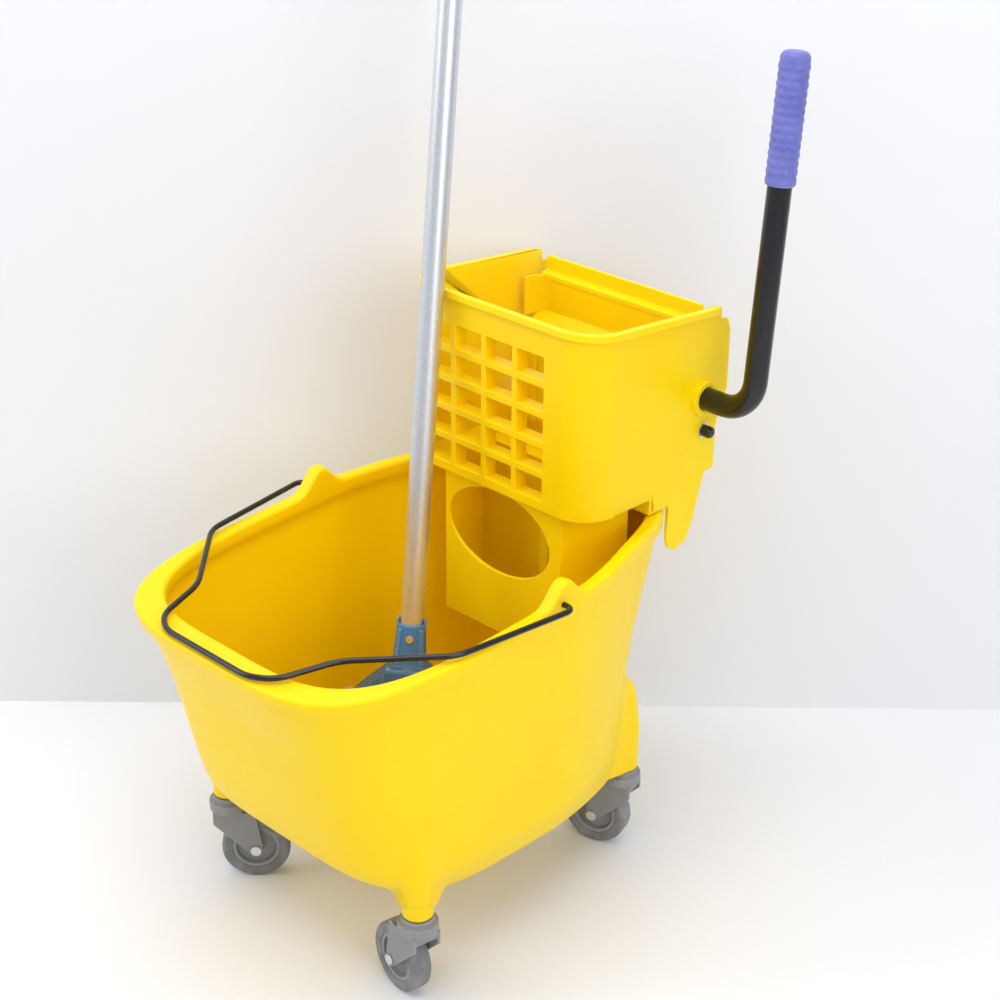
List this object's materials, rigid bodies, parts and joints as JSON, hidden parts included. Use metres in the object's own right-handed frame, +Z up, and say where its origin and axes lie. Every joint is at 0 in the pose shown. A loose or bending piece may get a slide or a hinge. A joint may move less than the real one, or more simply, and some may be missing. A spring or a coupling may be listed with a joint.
{
  "type": "mop and bucket with wringer",
  "caption": "Wheeled mop bucket with a side-press wringer, its hand lever and geared press plate, a wire bail, and a clamp mop standing in the bucket.",
  "frame": {"origin": "on the floor, midway between the left and right casters, under the bucket's middle", "axes": "+Z up, -Y towards the bucket's front lip, +X towards the side with the lever"},
  "size_m": [0.4208, 0.642, 1.4338],
  "materials": {
    "yellow_plastic": "moulded polypropylene, satin gloss",
    "caster_plastic": "moulded grey plastic",
    "tyre_rubber": "soft grey rubber",
    "zinc_steel": "bright zinc plate",
    "black_steel": "gloss black powder coat",
    "grip_plastic": "ribbed violet-blue grip",
    "pole_aluminium": "drawn, clear anodised",
    "blue_plastic": "moulded blue plastic",
    "clamp_plastic": "moulded slate-blue plastic",
    "headband_tape": "woven cotton tape",
    "cotton_yarn": "twisted cotton yarn",
    "gear_plastic": "black glass-filled nylon"
  },
  "bodies": {
    "bucket": {"bucket_shell": "yellow_plastic"},
    "bail": {"bail_wire": "black_steel"},
    "caster_fl_swivel": {"caster_fl_fork": "caster_plastic", "caster_fl_stem": "zinc_steel", "caster_fl_axle": "zinc_steel"},
    "caster_fl_wheel": {"caster_fl_hub": "caster_plastic", "caster_fl_tyre": "tyre_rubber"},
    "caster_fr_swivel": {"caster_fr_fork": "caster_plastic", "caster_fr_stem": "zinc_steel", "caster_fr_axle": "zinc_steel"},
    "caster_fr_wheel": {"caster_fr_hub": "caster_plastic", "caster_fr_tyre": "tyre_rubber"},
    "caster_rl_swivel": {"caster_rl_fork": "caster_plastic", "caster_rl_stem": "zinc_steel", "caster_rl_axle": "zinc_steel"},
    "caster_rl_wheel": {"caster_rl_hub": "caster_plastic", "caster_rl_tyre": "tyre_rubber"},
    "caster_rr_swivel": {"caster_rr_fork": "caster_plastic", "caster_rr_stem": "zinc_steel", "caster_rr_axle": "zinc_steel"},
    "caster_rr_wheel": {"caster_rr_hub": "caster_plastic", "caster_rr_tyre": "tyre_rubber"},
    "wringer": {"wringer_body": "yellow_plastic", "bearing_block_left": "yellow_plastic", "bearing_block_right": "yellow_plastic", "block_bolts": "zinc_steel", "block_washers": "zinc_steel", "block_cap_nuts": "black_steel"},
    "lever": {"lever_tube": "black_steel", "lever_grip": "grip_plastic", "shaft_end_cap": "black_steel", "gear_left": "gear_plastic", "gear_right": "gear_plastic", "gear_pins": "zinc_steel"},
    "plate": {"press_plate": "yellow_plastic", "rack_left": "yellow_plastic", "rack_right": "yellow_plastic"},
    "mop": {"mop_pole": "pole_aluminium", "mop_pole_cap": "blue_plastic", "mop_socket": "blue_plastic", "socket_screw": "zinc_steel", "mop_clamp_front": "clamp_plastic", "mop_clamp_rear": "clamp_plastic", "clamp_pin": "zinc_steel", "clamp_screw": "zinc_steel", "clamp_wing_nut": "zinc_steel", "mop_headband": "headband_tape", "mop_yarn": "cotton_yarn"}
  },
  "joints": [
    {"name": "bail_swing", "type": "hinge", "parent": "bucket", "child": "bail", "pos_m": [0, -0.028, 0.408], "axis": [-1, 0, 0], "range_deg": [0, 100]},
    {"name": "caster_fl_turn", "type": "hinge", "parent": "bucket", "child": "caster_fl_swivel", "pos_m": [-0.151, -0.189, 0.1], "axis": [0, 0, 1], "continuous": true},
    {"name": "caster_fl_roll", "type": "hinge", "parent": "caster_fl_swivel", "child": "caster_fl_wheel", "pos_m": [-0.13226, -0.16819, 0.0375], "axis": [-0.7431, 0.6691, 0], "continuous": true},
    {"name": "caster_fr_turn", "type": "hinge", "parent": "bucket", "child": "caster_fr_swivel", "pos_m": [0.151, -0.189, 0.1], "axis": [0, 0, 1], "continuous": true},
    {"name": "caster_fr_roll", "type": "hinge", "parent": "caster_fr_swivel", "child": "caster_fr_wheel", "pos_m": [0.12334, -0.18462, 0.0375], "axis": [-0.1564, -0.9877, 0], "continuous": true},
    {"name": "caster_rl_turn", "type": "hinge", "parent": "bucket", "child": "caster_rl_swivel", "pos_m": [-0.114, 0.157, 0.1], "axis": [0, 0, 1], "continuous": true},
    {"name": "caster_rl_roll", "type": "hinge", "parent": "caster_rl_swivel", "child": "caster_rl_wheel", "pos_m": [-0.10442, 0.18331, 0.0375], "axis": [-0.9397, 0.342, 0], "continuous": true},
    {"name": "caster_rr_turn", "type": "hinge", "parent": "bucket", "child": "caster_rr_swivel", "pos_m": [0.114, 0.157, 0.1], "axis": [0, 0, 1], "continuous": true},
    {"name": "caster_rr_roll", "type": "hinge", "parent": "caster_rr_swivel", "child": "caster_rr_wheel", "pos_m": [0.08722, 0.14881, 0.0375], "axis": [0.2924, -0.9563, 0], "continuous": true},
    {"name": "wringer_lift", "type": "slide", "parent": "bucket", "child": "wringer", "axis": [0, 0, 1], "range_m": [0, 0.35]},
    {"name": "lever_swing", "type": "hinge", "parent": "wringer", "child": "lever", "pos_m": [0, 0.242, 0.529], "axis": [-1, 0, 0], "range_deg": [0, 95]},
    {"name": "plate_slide", "type": "slide", "parent": "wringer", "child": "plate", "axis": [0, -1, 0], "range_m": [0, 0.06]},
    {"name": "mop_lift", "type": "slide", "parent": "wringer", "child": "mop", "axis": [0, -0.2501, 0.9682], "range_m": [0, 0.45]}
  ],
  "couplings": [
    {"joint": "plate_slide", "follows": "lever_swing", "m_per_rad": 0.036}
  ]
}
